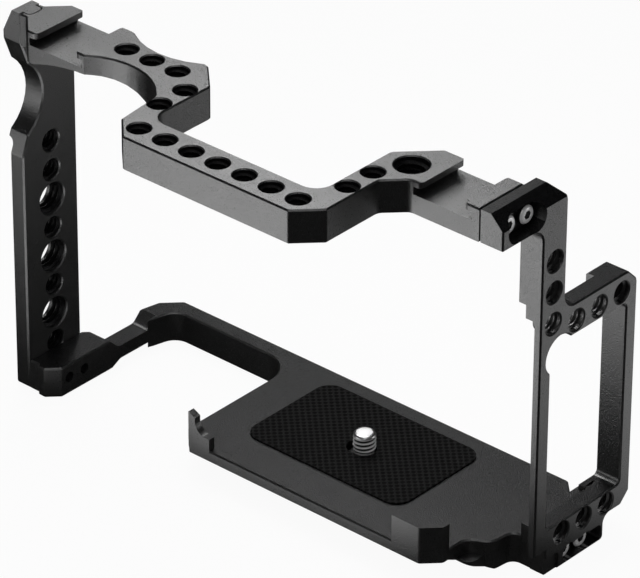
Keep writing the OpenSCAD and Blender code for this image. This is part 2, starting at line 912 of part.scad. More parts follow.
// Reliefs on the inner side: the seat, the thin web and the bevel of the bar
module frame_relief() {
  box([frame_reach - over, -head_y, -base_h - over], [seat_x, lip_in, lip_top]);
  box([frame_reach - over, 0, -base_h - over], [seat_x, rib_back + fit, base_top + rib_h + fit]);
  translate([frame_reach - over, 0, 0])
    across()
      prism([
        [-head_y, window_z, 0],
        [lip_in, window_z, 0],
        [lip_in, web_top, 0],
        [-head_y, web_top, 0],
      ], 0, frame_t + over - web_t);
  prism([
    [frame_reach - over, -bar_front - over, 0],
    [frame_out - bevel_x, -bar_front - over, 0],
    [frame_out - bevel_x, -bar_front, 0],
    [frame_out - web_t, -bar_front + bevel_y, 0],
    [frame_reach - over, -bar_front + bevel_y, 0],
  ], -foot_step_z - over, web_top);
}
module port_frame() {
  color("dimgray")
    difference() {
      across()
        difference() {
          prism(frame_outline, frame_reach, frame_out);
          edge_ring(rounded(frame_outline), frame_out, 1, edge_break);
          edge_ring(rounded(frame_outline), frame_reach, -1, edge_break);
          prism(window_outline, frame_reach - over, frame_out + over);
          edge_ring(turned(rounded(window_outline)), frame_out, 1, edge_break);
        }
      frame_relief();
      along()
        prism([
          [frame_out, top_h - frame_bevel, 0],
          [frame_out + over, top_h - frame_bevel, 0],
          [frame_out + over, top_h + over, 0],
          [frame_out - frame_bevel, top_h + over, 0],
          [frame_out - frame_bevel, top_h, 0],
        ], -bar_back - over, head_y + over);
      frame_pocket();
      across()
        prism([
          [-foot_step_y - over, -base_h - over, 0],
          [foot_relief_y, -base_h - over, 0],
          [foot_relief_y, -foot_relief_z, mid_r],
          [-foot_step_y - over, -foot_relief_z, 0],
        ], frame_out - foot_relief, frame_out + over);
      for (i = [-1:1]) {
        side_bore(small_d, i < 0 ? seat_x : frame_reach, frame_out, -col_y, col_z + (i + 1) * frame_pitch);
        side_bore(small_d, frame_out - web_t, frame_out, shelf_row_y + i * frame_pitch, shelf_row_z);
        side_bore(small_d, seat_x, frame_out, sill_row_y + i * frame_pitch, sill_row_z);
      }
      for (s = [-1, 1]) {
        at_frame_head(s) joint_hole(head_screw_l);
        at_frame_foot(s) joint_hole(foot_screw_l);
      }
    }
}

// Joint screws
module frame_head_screw_front() {
  color("silver")
    at_frame_head(-1) joint_screw(head_screw_l);
}
module frame_head_screw_rear() {
  color("silver")
    at_frame_head(1) joint_screw(head_screw_l);
}
module frame_foot_screw_front() {
  color("silver")
    at_frame_foot(-1) joint_screw(foot_screw_l);
}
module frame_foot_screw_rear() {
  color("silver")
    at_frame_foot(1) joint_screw(foot_screw_l);
}
module post_foot_screw_front() {
  color("silver")
    at_post_foot(-1) joint_screw(heel_screw_l);
}
module post_foot_screw_rear() {
  color("silver")
    at_post_foot(1) joint_screw(heel_screw_l);
}
module post_head_screw() {
  color("silver")
    at_post_head() joint_screw(key_screw_l);
}

top_plate();
grip_post();
base_plate();
port_frame();
camera_pad();
camera_screw();
retaining_clip();
slot_washer();
frame_head_screw_front();
frame_head_screw_rear();
frame_foot_screw_front();
frame_foot_screw_rear();
post_foot_screw_front();
post_foot_screw_rear();
post_head_screw();
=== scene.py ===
"""Looks for a camera cage: black anodised plates, tapped holes, a woven pad and a bright screw.

Shapes are worked out in millimetres and become metres in build_mesh. Lamps, the floor and the
noise of the finishes are in metres.
"""
import json

import bmesh
import bpy
import numpy as np
from mathutils import Matrix, Vector


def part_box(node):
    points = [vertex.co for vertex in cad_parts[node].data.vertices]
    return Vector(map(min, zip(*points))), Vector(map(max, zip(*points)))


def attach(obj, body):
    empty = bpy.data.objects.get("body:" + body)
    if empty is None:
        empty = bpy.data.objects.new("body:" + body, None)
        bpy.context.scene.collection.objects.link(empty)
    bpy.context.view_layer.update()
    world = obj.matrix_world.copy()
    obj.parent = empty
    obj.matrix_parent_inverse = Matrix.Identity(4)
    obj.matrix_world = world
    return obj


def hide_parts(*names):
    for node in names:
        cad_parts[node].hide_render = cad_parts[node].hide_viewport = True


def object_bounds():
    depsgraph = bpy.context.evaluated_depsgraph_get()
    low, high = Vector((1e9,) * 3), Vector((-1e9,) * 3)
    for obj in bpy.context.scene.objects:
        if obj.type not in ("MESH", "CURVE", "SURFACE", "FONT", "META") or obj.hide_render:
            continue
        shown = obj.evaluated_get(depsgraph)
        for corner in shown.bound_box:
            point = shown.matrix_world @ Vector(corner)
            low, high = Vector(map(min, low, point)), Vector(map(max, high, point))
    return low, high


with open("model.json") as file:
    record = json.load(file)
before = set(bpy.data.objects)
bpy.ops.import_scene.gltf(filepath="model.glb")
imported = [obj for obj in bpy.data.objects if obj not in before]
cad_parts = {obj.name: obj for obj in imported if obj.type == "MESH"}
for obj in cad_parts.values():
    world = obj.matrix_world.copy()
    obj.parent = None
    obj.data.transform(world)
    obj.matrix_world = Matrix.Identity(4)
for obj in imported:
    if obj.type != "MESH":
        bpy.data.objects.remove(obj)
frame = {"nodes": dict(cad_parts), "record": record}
cad_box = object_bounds()
MM = 0.001
# Cosine of an eighth of a turn
DIAGONAL = 0.7071
CAGE, SCREW = "cage", "screw"

# ---------------------------------------------------------------- camera
# The photograph's camera, fitted to the cage's edges. The seat is where the screw's axis meets
# the top of the pad, which is the origin.
AZIMUTH, ELEVATION, ROLL = 41.29, 30.79, -0.30
IMAGE_W, IMAGE_H = 640, 578
FOCAL_PX = 5225.0
SEAT_PX = (364.5, 449.0)
SEAT_DEPTH = 1.425
SENSOR_W = 36.0


def linked(name, data):
    """New object at the origin, in the scene."""
    obj = bpy.data.objects.new(name, data)
    bpy.context.scene.collection.objects.link(obj)
    return obj


def camera_axes():
    """Right, down and forward directions of the camera, turned by its roll."""
    a, e, r = np.radians([AZIMUTH, ELEVATION, ROLL])
    right = np.array([np.cos(a), np.sin(a), 0.0])
    ahead = np.array([-np.sin(a) * np.cos(e), np.cos(a) * np.cos(e), -np.sin(e)])
    down = np.cross(ahead, right)
    return np.cos(r) * right + np.sin(r) * down, -np.sin(r) * right + np.cos(r) * down, ahead


def add_camera():
    """Camera at the place from which the seat falls on its own pixel."""
    right, down, ahead = camera_axes()
    dx = (SEAT_PX[0] - IMAGE_W / 2) / FOCAL_PX
    dy = (SEAT_PX[1] - IMAGE_H / 2) / FOCAL_PX
    data = bpy.data.cameras.new("camera")
    data.sensor_fit = "HORIZONTAL"
    data.sensor_width = SENSOR_W
    data.lens = FOCAL_PX * SENSOR_W / IMAGE_W
    data.clip_start, data.clip_end = 0.05, 50.0
    cam = linked("camera", data)
    turn = np.eye(4)
    turn[:3, 0], turn[:3, 1], turn[:3, 2] = right, -down, -ahead
    turn[:3, 3] = -SEAT_DEPTH * (dx * right + dy * down + ahead)
    cam.matrix_world = Matrix(turn.tolist())
    bpy.context.scene.camera = cam


# ---------------------------------------------------------------- shader helpers
class Socket:
    """An output socket that takes part in arithmetic; each operator adds a Math node."""

    def __init__(self, nodes, out):
        self.nodes, self.out = nodes, out

    def _math(self, op, *values):
        return self.nodes.node("ShaderNodeMath", {"operation": op}, dict(enumerate(values)))

    def __add__(self, other):
        return self._math("ADD", self, other)

    def __sub__(self, other):
        return self._math("SUBTRACT", self, other)

    def __rsub__(self, other):
        return self._math("SUBTRACT", other, self)

    def __mul__(self, other):
        return self._math("MULTIPLY", self, other)

    def __pow__(self, other):
        return self._math("POWER", self, other)

    __radd__ = __add__

    def fraction(self):
        return self._math("FRACT", self)

    def clamp(self):
        return self.nodes.node("ShaderNodeClamp", {}, {0: self})

    def rise(self, start, width):
        """0 up to the start, 1 from start + width on, and a straight line between."""
        return ((self - start) * (1.0 / width)).clamp()


class Nodes:
    """The node tree of a material or a world, whose nodes are added one call at a time."""

    def __init__(self, owner):
        self.owner = owner
        owner.use_nodes = True
        self.tree = owner.node_tree
        self.tree.nodes.clear()

    def node(self, kind, settings=None, inputs=None, output=0):
        """Adds a node of a type, with its settings, then its values or links; gives one output."""
        made = self.tree.nodes.new(kind)
        for key, value in (settings or {}).items():
            setattr(made, key, value)
        for key, value in (inputs or {}).items():
            if isinstance(value, Socket):
                self.tree.links.new(value.out, made.inputs[key])
            else:
                made.inputs[key].default_value = value
        return Socket(self, made.outputs[output])

    def place(self):
        """Object coordinates."""
        return self.node("ShaderNodeTexCoord", output=3)

    def axes(self):
        """Object coordinates as three numbers."""
        split = self.node("ShaderNodeSeparateXYZ", {}, {0: self.place()})
        return [Socket(self, out) for out in split.out.node.outputs]

    def rays(self):
        """Whether a ray is one of the camera's, of gloss, or of what passes through glass."""
        outputs = self.node("ShaderNodeLightPath").out.node.outputs
        return [Socket(self, outputs["Is " + kind + " Ray"])
                for kind in ("Camera", "Glossy", "Transmission")]

    def noise(self, scale, detail, rough):
        return self.node("ShaderNodeTexNoise", {"noise_dimensions": "3D"},
                         {"Vector": self.place(), "Scale": scale, "Detail": detail,
                          "Roughness": rough})

    def mix(self, amount, first, second):
        return self.node("ShaderNodeMix", {"data_type": "RGBA"},
                         {0: amount, 6: first, 7: second}, output=2)

    def either(self, amount, first, second):
        """The first shader, or the second where the amount is 1."""
        return self.node("ShaderNodeMixShader", {}, {0: amount, 1: first, 2: second})

    def ramp(self, value, stops):
        """Colour that follows stops of (place from 0 to 1, colour)."""
        made = self.node("ShaderNodeValToRGB", {}, {0: value})
        elements = made.out.node.color_ramp.elements
        while len(elements) < len(stops):
            elements.new(1.0)
        for element, (at, colour) in zip(elements, stops):
            element.position, element.color = at, colour
        return made

    def bump(self, height, distance, strength):
        return self.node("ShaderNodeBump", {},
                         {"Height": height, "Distance": distance, "Strength": strength})

    def skin(self, **inputs):
        """Principled surface with its constants set on its own sockets; gives the material."""
        named = {key.replace("_", " "): value for key, value in inputs.items()}
        return self.close(self.node("ShaderNodeBsdfPrincipled", {}, named))

    def close(self, shader, kind="ShaderNodeOutputMaterial"):
        """Links a shader to the output; gives the material or the world."""
        end = self.tree.nodes.new(kind)
        self.tree.links.new(shader.out, end.inputs[0])
        return self.owner


def material(name):
    return Nodes(bpy.data.materials.new(name))


def grey(value):
    return (value, value, value, 1.0)


# ---------------------------------------------------------------- finishes
# How many cells of noise a metre holds
GRAIN, DRIFT, TURNED_MARKS, FUZZ, FIBRE = 3400.0, 45.0, 6000.0, 5000.0, 300.0
PIT_BLACK, SPECK_BLACK = (0.002, 0.002, 0.0022, 1.0), (0.011, 0.011, 0.012, 1.0)
GRAIN_HEIGHT, WEAVE_HEIGHT = 0.00010, 0.0003
# Index of refraction of the black anodising: the higher it is, the more the surface mirrors. Satin
# is the finish itself; the others make darker copies that paint shade on up-facing faces and in
# holes, one of them also used for the spring clip
SATIN, PAINTED_SHADE_TOPS, PAINTED_SHADE_AND_CLIP, PAINTED_SHADE_IN_HOLES = 2.85, 1.57, 1.42, 1.20
# Woven pad: width of one cell of its lattice, in metres
WEAVE_PITCH = 1.66 * MM
# Camera screw, in millimetres: how high it ends, the radius of its flat tip, the height of the
# rounding below that, and where its thread begins
STUD_TOP, STUD_FLAT, STUD_ROUND, STUD_FOOT = 5.6, 2.15, 1.0, 0.3
# Its colour turns from painted shade in the grooves to the steel's bright colour from this radius
# on, over this much of the radius, and at the tip over this much height
GROOVE_R, GROOVE_TO_CREST, DOME_FADE = 2.72, 0.36, 0.25


def anodised(name, index):
    """Bead-blasted black anodising: fine pits in height and colour over a slow drift in gloss."""
    f = material(name)
    grain = f.noise(GRAIN, 1.0, 0.5)
    drift = f.noise(DRIFT, 3.0, 0.5)
    speck = ((grain - 0.50) * 6.0).clamp()
    return f.skin(Base_Color=f.mix(speck, PIT_BLACK, SPECK_BLACK),
                  Roughness=0.19 + grain * 0.18 + drift * 0.06,
                  Normal=f.bump(grain, GRAIN_HEIGHT, 1.0), IOR=index)


def steel(name, shade, metal):
    """Plated steel: short turned marks in its shade and its gloss."""
    f = material(name)
    marks = f.noise(TURNED_MARKS, 2.0, 0.5)
    return f.skin(Base_Color=f.mix(marks, grey(shade * 0.85), grey(shade)), Metallic=metal,
                  Roughness=0.30 + marks * 0.06)


def threaded_steel():
    """Bright steel whose thread is bright at its crests and painted dark in its grooves as painted
    shade.

    The distance from the screw's axis sets the painted groove shade along the shank, and the
    rounded tip is bright all over.
    """
    f = material("threaded_bright_steel")
    x, y, z = f.axes()
    crest = ((x * x + y * y) ** 0.5).rise(GROOVE_R * MM, GROOVE_TO_CREST * MM)
    dome = z.rise((STUD_TOP - STUD_ROUND) * MM, DOME_FADE * MM)
    # Painted shade: near black in the thread's grooves, the steel's bright colour on the crests
    # and tip
    return f.skin(Base_Color=f.mix((crest + dome).clamp(), grey(0.03), grey(0.95)),
                  Metallic=0.55 + dome * 0.45,
                  Roughness=0.30 + f.noise(TURNED_MARKS, 2.0, 0.5) * 0.05)


def woven_rubber():
    """Woven pad: a square lattice of pits turned by an eighth of a turn, threads between; the pits
    are painted darker as painted shade.

    Across and along are the two lattice directions in cells, and the height rises smoothly from
    the middle of a cell to the threads at its rim, more across than along.
    """
    f = material("woven_black_rubber")
    x, y, _ = f.axes()
    cells = DIAGONAL / WEAVE_PITCH
    across, along = (((x + y) * cells).fraction() - 0.5, ((x - y) * cells).fraction() - 0.5)
    reach = (across * across * 4.6 + along * along * 3.2) ** 0.5
    thread = f.node("ShaderNodeMapRange", {"interpolation_type": "SMOOTHSTEP"},
                    {0: reach, 1: 0.45, 2: 1.05, 3: 0.0, 4: 1.0})
    fuzz = f.noise(FUZZ, 2.0, 0.6)
    # Painted shade darkens the pits' colour; the fuzz adds the rubber's own uneven tone
    return f.skin(Base_Color=f.mix((thread * 0.8 + fuzz * 0.4 - 0.1).clamp(),
                                   grey(0.0008), grey(0.011)),
                  Roughness=0.75 - thread * 0.2 + fuzz * 0.1, Specular_IOR_Level=0.16,
                  Normal=f.bump(thread + fuzz * 0.3, WEAVE_HEIGHT, 0.9))


def dress(obj, first, second=None, faces=None):
    """Gives an object its finish, and a second one to the faces marked in an array; that second
    one is used for painted shade.
    """
    obj.data.materials.clear()
    obj.data.materials.append(first)
    if second:
        obj.data.materials.append(second)
        obj.data.polygons.foreach_set("material_index", faces.astype(np.int32))


# ---------------------------------------------------------------- meshes
# How near two points have to be, in metres, to become one; edges shorter than the second go
SAME_POINT, NO_EDGE = 2e-6, 1e-6
# Faces within this angle of each other shade as one round, in degrees
ROUND_WITHIN = 28.0
TINY = 1e-15


def build_mesh(name, verts, faces):
    """Object at the origin from points in millimetres and faces."""
    mesh = bpy.data.meshes.new(name)
    mesh.from_pydata((np.asarray(verts, float) * MM).tolist(), [], [list(face) for face in faces])
    mesh.validate()
    return linked(name, mesh)


def tube_faces(rings, around):
    """Quads of a grid of rings, each closed round on itself."""
    i, j = np.meshgrid(np.arange(rings - 1), np.arange(around), indexing="ij")
    k = (j + 1) % around
    return np.stack([i * around + j, (i + 1) * around + j, (i + 1) * around + k, i * around + k],
                    -1).reshape(-1, 4)


def recalculate(obj):
    """Merges points that meet, drops edges of no length and turns all faces outward."""
    work = bmesh.new()
    work.from_mesh(obj.data)
    bmesh.ops.remove_doubles(work, verts=work.verts, dist=SAME_POINT)
    bmesh.ops.dissolve_degenerate(work, edges=work.edges, dist=NO_EDGE)
    bmesh.ops.recalc_face_normals(work, faces=work.faces)
    work.to_mesh(obj.data)
    work.free()


def shade_round(obj, sharp):
    """Smooth shading apart from edges sharper than an angle in degrees."""
    obj.data.shade_smooth()
    obj.data.set_sharp_from_angle(angle=np.radians(sharp))


def numbers(items, key, width, kind=float):
    """One property of many mesh items as an array."""
    flat = np.empty(len(items) * width, kind)
    items.foreach_get(key, flat)
    return flat.reshape(-1, width) if width > 1 else flat


def round_shading(mesh):
    """Shading normal of every face corner of a mesh of triangles.

    It is the mean of the normals of the faces round that point that lie within the angle of its
    own face, each by its area times its corner's opening, so flats stay flat and rounds shade as
    round.
    """
    face_normal, area = numbers(mesh.polygons, "normal", 3), numbers(mesh.polygons, "area", 1)
    point = numbers(mesh.loops, "vertex_index", 1, np.int32).astype(np.int64)
    place = numbers(mesh.vertices, "co", 3)[point].reshape(-1, 3, 3)
    to_next, to_last = np.roll(place, -1, 1) - place, np.roll(place, 1, 1) - place
    size = np.linalg.norm(to_next, axis=2) * np.linalg.norm(to_last, axis=2) + TINY
    opening = np.arccos(np.clip((to_next * to_last).sum(2) / size, -1, 1)).ravel()
    face = np.repeat(np.arange(len(area)), 3)
    weight = area[face] * opening
    # Every corner (mine) is paired with every corner at the same point (other)
    order = np.argsort(point, kind="stable")
    count = np.bincount(point, minlength=len(mesh.vertices))
    first = np.cumsum(count) - count
    many = count[point]
    mine = np.repeat(np.arange(len(point)), many)
    step = np.arange(len(mine)) - np.repeat(np.cumsum(many) - many, many)
    other = order[first[point[mine]] + step]
    alike = (face_normal[face[mine]] * face_normal[face[other]]).sum(1)
    near = alike > np.cos(np.radians(ROUND_WITHIN))
    share = face_normal[face[other]] * (weight[other] * near)[:, None]
    total = np.stack([np.bincount(mine, share[:, k], len(point)) for k in range(3)], 1)
    length = np.linalg.norm(total, axis=1, keepdims=True)
    return np.where(length > TINY, total / np.maximum(length, TINY), face_normal[face])


def smooth_copy(node, name, body):
    """Merged copy of a CAD node whose round faces shade as round ones."""
    mesh = frame["nodes"][node].data.copy()
    mesh.name = name
    obj = linked(name, mesh)
    work = bmesh.new()
    work.from_mesh(mesh)
    bmesh.ops.remove_doubles(work, verts=work.verts, dist=SAME_POINT)
    bmesh.ops.triangulate(work, faces=work.faces)
    work.to_mesh(mesh)
    work.free()
    mesh.shade_smooth()
    mesh.normals_split_custom_set(round_shading(mesh).tolist())
    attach(obj, body)
    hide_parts(node)
    return obj


# ---------------------------------------------------------------- tapped holes
# All in millimetres. A thread is its outer radius and its pitch: 1/4 inch by 20, 3/8 inch by 16.
SMALL = SMALL_R, SMALL_PITCH = 3.175, 1.27
LARGE = 4.7625, 1.5875
# The edge break at the mouth of a hole, which the thread leaves free
MOUTH = 0.35
# How far apart the holes of a row are, in the top plate and the post and in the port frame
HOLE_PITCH, FRAME_PITCH = 9.2, 9.4
# Each row by its middle hole, or by its lowest one in the post and the frame's column, with the
# depth of its threads where the piece isn't drilled through at one thickness
TOP_Z, TOP_T = 109.0, 10.0
BAR_X, BAR_Y = -6.0, -51.85
WING_X, WING_Y, WING_DEPTHS = -56.5, -22.4, ((-1, 5.2), (0, 6.0), (1, 8.6))
LEGS_X, LEG_Y, LEG_HALF = (-38.75, 26.65), -33.7, 4.95
BESIDE_SHOE = 31.5, -19.2
POST_X, POST_Y, POST_Z, POST_DEPTH = -107.9, -16.4, 1.1, 6.3
FRAME_X = 67.0
COLUMN_Y, COLUMN_Z, COLUMN_DEPTHS = -3.6, 68.5, (4.5, 7.2, 7.2)
SHELF_Y, SHELF_Z, SHELF_DEPTH = 15.6, 65.3, 3.8
SILL_Y, SILL_Z, SILL_DEPTH = 12.1, 0.95, 4.5
TRIPOD_X, TRIPOD_Y, TRIPOD_Z, TRIPOD_DEPTH = (-19.0, 17.0), 2.0, -1.85, 7.8
# A turn's section, in pitches: how far its crest stands in from the wall, and how far above and
# below its middle the foot and the crest reach. The last is how far its foot is sunk in the wall
RIDGE_IN, RIDGE_FOOT, RIDGE_CREST, RIDGE_SUNK = 0.54, 0.43, 0.09, 0.04
# The ridge starts and ends this far from the bore's ends, in pitches, swells over this much of a
# turn and is never shorter than this many turns
RIDGE_END, RIDGE_SWELL, RIDGE_LEAST = 0.45, 0.25, 0.6
# Rows that carry +Z to an axis
TURNED_TO = {"+z": np.eye(3), "+x": np.array([[0, 0, 1], [0, 1, 0], [-1, 0, 0]], float),
             "-x": np.array([[0, 0, -1], [0, 1, 0], [1, 0, 0]], float)}


def thread_ridge(wall, pitch, length, per_turn=28):
    """One helical ridge inside a bore of radius wall, from z = 0 down to -length.

    At each angle the section is a trapezium on the wall with its crest inside it. Its size grows
    from nothing to full over the first quarter turn and falls back over the last one.
    """
    turns = max(length / pitch - 2 * RIDGE_END, RIDGE_LEAST)
    t = np.linspace(0.0, turns, int(turns * per_turn) + 1)
    swell = np.clip(np.minimum(t, turns - t) / RIDGE_SWELL, 0.0, 1.0)[:, None]
    out = np.array([RIDGE_SUNK, -RIDGE_IN * pitch, -RIDGE_IN * pitch, RIDGE_SUNK]) * swell
    lift = np.array([-RIDGE_FOOT, -RIDGE_CREST, RIDGE_CREST, RIDGE_FOOT]) * pitch * swell
    angle = t[:, None] * 2 * np.pi
    r = wall + out
    z = -(t[:, None] + RIDGE_END) * pitch + lift
    verts = np.stack([r * np.cos(angle), r * np.sin(-angle), z], -1).reshape(-1, 3)
    return verts, tube_faces(len(t), 4)


def tapped(name, bores):
    """All the thread ridges of one piece; a bore is its mouth, axis, radius, pitch and length."""
    parts, faces, count = [], [], 0
    for mouth, axis, wall, pitch, length in bores:
        verts, quads = thread_ridge(wall, pitch, length)
        parts.append(verts @ TURNED_TO[axis].T + np.array(mouth))
        faces.append(quads + count)
        count += len(verts)
    obj = build_mesh(name, np.vstack(parts), np.vstack(faces))
    recalculate(obj)
    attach(obj, CAGE)
    return obj


def row_on_frame(y, z, steps, depths):
    """Bores in the outer face of the port frame, in one row along Y."""
    return [((FRAME_X - MOUTH, y + i * FRAME_PITCH, z), "+x", *SMALL, depth)
            for i, depth in zip(steps, depths)]


top_mouth, top_depth = TOP_Z - MOUTH, TOP_T - 2 * MOUTH
top_bores = [((BAR_X + i * HOLE_PITCH, BAR_Y, top_mouth), "+z", *SMALL, top_depth)
             for i in range(-3, 4)]
top_bores += [((x, LEG_Y + s * LEG_HALF, top_mouth), "+z", *SMALL, top_depth)
              for x in LEGS_X for s in (-1, 1)]
top_bores += [((WING_X + i * HOLE_PITCH, WING_Y, top_mouth), "+z", *SMALL, depth)
              for i, depth in WING_DEPTHS]
top_bores.append(((*BESIDE_SHOE, top_mouth), "+z", *LARGE, top_depth))
post_bores = [((POST_X + MOUTH, POST_Y, POST_Z + i * HOLE_PITCH), "-x",
               *(LARGE if i in (1, 3, 5) else SMALL), POST_DEPTH) for i in range(8)]
frame_bores = [((FRAME_X - MOUTH, COLUMN_Y, COLUMN_Z + i * FRAME_PITCH), "+x", *SMALL, depth)
               for i, depth in enumerate(COLUMN_DEPTHS)]
frame_bores += row_on_frame(SHELF_Y, SHELF_Z, (-1, 0, 1), (SHELF_DEPTH,) * 3)
frame_bores += row_on_frame(SILL_Y, SILL_Z, (-1, 0, 1), (SILL_DEPTH,) * 3)
base_bores = [((x, TRIPOD_Y, TRIPOD_Z), "+z", *thread, TRIPOD_DEPTH)
              for x, thread in zip(TRIPOD_X, (SMALL, LARGE))]


# ---------------------------------------------------------------- screws
# Socket heads: half the width over the socket's flats, its depth and the radius of the shank
# behind the head, as parts of the head's radius
SOCKET_FLAT, SOCKET_DEPTH, SHANK_R = 0.42, 0.55, 0.55
# The socket's edges: its floor's and its rim's width as parts of the hexagon, and their height
# in millimetres
SOCKET_FLOOR, SOCKET_RIM, FLOOR_EDGE, RIM_EDGE = 0.96, 1.10, 0.05, 0.12
# The dome and the side as (radius, height from the face), both as parts of the head's radius
HEAD_PROFILE = ((0.80, 0.0), (0.83, -0.02), (0.97, -0.17), (1.0, -0.22), (1.0, -0.9),
                (SHANK_R, -0.95))
# Radius of the small flat in the middle of both ends, in millimetres
END_R = 0.02
# Edges sharper than these many degrees stay sharp
HEAD_SHARP, STUD_SHARP = 38, 40
# Faces whose normal is less than this along the screw's axis are its walls, painted black as
# painted shade
ALONG_AXIS = 0.3
# Camera screw: the depth of its thread in pitches, the middle and the swing of the wave that is
# cut off flat at crest and root, its radius where the thread begins and how fast it widens there
STUD_DEPTH, WAVE_MIDDLE, WAVE_SWING, HEEL_R, HEEL_SLOPE = 0.56, 0.5, 0.72, 2.5, 1.6
# The copy of the solid ends flat at the foot of the thread: points more than this many
# millimetres above the foot come down to it, and in to this part of their radius
OVER_FOOT, DRAWN_IN = 0.02, 0.6
# The thread fades in over this part of the rounding below the tip
THREAD_FROM, THREAD_OVER = 0.7, 0.3


def socket_head(node, slot, facing, around=48):
    """Domed head with a six-sided socket, turned about X in the place of its node.

    Rows run from the middle of the socket's floor over its rim, the dome and the side. A row's
    radius is fixed, but in the socket it is the flat's distance divided by the cosine of the
    angle from it. Walls along the axis, in the socket and outside, take the black steel as
    painted shade.
    """
    low, high = (np.array(corner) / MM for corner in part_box(node))
    middle, r = (low + high) / 2, (high[1] - low[1]) / 2
    key, deep, long = SOCKET_FLAT * r, SOCKET_DEPTH * r, high[0] - low[0]
    face = high[0] if facing > 0 else low[0]
    angle = np.linspace(0, 2 * np.pi, around, endpoint=False)[None, :]
    hexagon = key / np.cos(np.mod(angle, np.pi / 3) - np.pi / 6)
    plain = np.ones_like(angle)
    rows = [(END_R * plain, -deep), (SOCKET_FLOOR * hexagon, -deep), (hexagon, -deep + FLOOR_EDGE),
            (hexagon, -RIM_EDGE), (SOCKET_RIM * hexagon, 0.0)]
    rows += [(wide * r * plain, down * r) for wide, down in HEAD_PROFILE]
    rows += [(SHANK_R * r * plain, -long), (END_R * plain, -long)]
    radius = np.vstack([row for row, _ in rows])
    depth = np.array([d for _, d in rows])[:, None] * facing
    verts = np.stack([face + depth + 0 * angle, middle[1] + radius * np.cos(angle),
                      middle[2] + radius * np.sin(angle)], -1).reshape(-1, 3)
    rims = [list(range(around)), list(range((len(rows) - 1) * around, len(rows) * around))]
    obj = build_mesh(node + "_turned", verts, tube_faces(len(rows), around).tolist() + rims)
    recalculate(obj)
    shade_round(obj, HEAD_SHARP)
    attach(obj, CAGE)
    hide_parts(node)
    # Painted shade: the socket's faces and the side take the black steel
    walls = abs(numbers(obj.data.polygons, "normal", 3)[:, 0]) < ALONG_AXIS
    dress(obj, slot_finish[slot], dark, walls)


def stud_surface(around=64, per_pitch=16):
    """Shank on a grid that follows its own helix: a row keeps its place in the thread's section.

    Height is (row + angle / turn) pitches held between foot and top, and the radius is the outer
    one less a rounded wave of the row, held inside the rounded top and the neck at the foot.
    """
    turns = int((STUD_TOP - STUD_FOOT) / SMALL_PITCH) + 2
    row = np.arange(-per_pitch, turns * per_pitch + 1)[:, None] / per_pitch
    turn = np.arange(around + 1)[None, :] / around
    z = np.clip(STUD_FOOT + (row + turn) * SMALL_PITCH, STUD_FOOT, STUD_TOP)
    wave = np.clip(WAVE_MIDDLE + WAVE_SWING * np.cos(2 * np.pi * row), 0.0, 1.0)
    down = np.clip((STUD_TOP - z) / STUD_ROUND, 0.0, 1.0)
    lead = STUD_FLAT + (SMALL_R - STUD_FLAT) * np.sqrt(1.0 - (1.0 - down) ** 2)
    wave = wave * np.clip((down - THREAD_FROM) / THREAD_OVER, 0.0, 1.0)
    heel = HEEL_R + (z - STUD_FOOT) * HEEL_SLOPE
    r = np.minimum(np.minimum(SMALL_R - STUD_DEPTH * SMALL_PITCH * wave, lead), heel)
    r = np.where(z >= STUD_TOP, STUD_FLAT, np.where(z <= STUD_FOOT, HEEL_R, r))
    grid = np.stack([r * np.cos(2 * np.pi * turn), r * np.sin(2 * np.pi * turn), z], -1)
    i, j = np.meshgrid(np.arange(len(row) - 1), np.arange(around), indexing="ij")
    wide = around + 1
    quads = np.stack([i * wide + j, i * wide + j + 1, (i + 1) * wide + j + 1, (i + 1) * wide + j],
                     -1).reshape(-1, 4)
    ring = np.arange(around)
    last = (len(row) - 1) * wide
    middle = grid.size // 3
    ends = [np.stack([ring + 1, ring, np.full(around, middle)], -1),
            np.stack([last + ring, last + ring + 1, np.full(around, middle + 1)], -1)]
    verts = np.vstack([grid.reshape(-1, 3), [[0, 0, STUD_FOOT], [0, 0, STUD_TOP]]])
    return verts, quads.tolist() + np.vstack(ends).tolist()


# ---------------------------------------------------------------- studio
# Half the floor's width and how far it lies under the cage, in metres
FLOOR_HALF, FLOOR_GAP = 4, 0.0002
# How much of the camera's view of the floor is plain white; the rest shows its light and shadow
FLOOR_WHITE = 0.94
# What gloss sees of the floor is a painted glow, not its light: a painted reflection, bright in
# front and far behind right, and dark close by as a painted shadow of the cage. Stops are
# (metres, level). Depth is Y, width is X and side is X less Y in front and Y less X behind;
# reach is the way toward the back right.
PAINTED_GLOW_IN_GLOSS, FLOOR_LEAST = 1.5, 0.010
FRONT_BY_DEPTH = [(-0.20, 1.0), (-0.15, 0.95), (-0.10, 0.75), (-0.052, 0.60), (-0.038, 0.06),
                  (-0.02, 0.0)]
FRONT_BY_SIDE = [(-0.062, 0.0), (-0.040, 0.12), (-0.030, 0.30), (-0.008, 1.0), (0.14, 1.0),
                 (0.20, 0.0)]
FRONT_BY_WIDTH = [(0.016, 1.0), (0.045, 0.0)]
BEHIND_BY_REACH = [(0.06, 0.0), (0.09, 0.22), (0.15, 0.38), (0.22, 0.45), (0.30, 0.50)]
BEHIND_BY_SIDE = [(-0.095, 0.0), (-0.070, 1.0), (-0.01, 1.0), (0.06, 0.15)]
ROOM_LIGHT, ROOM_IN_GLOSS, ROOM_TO_CAMERA = 0.4, 0.004, 1.0
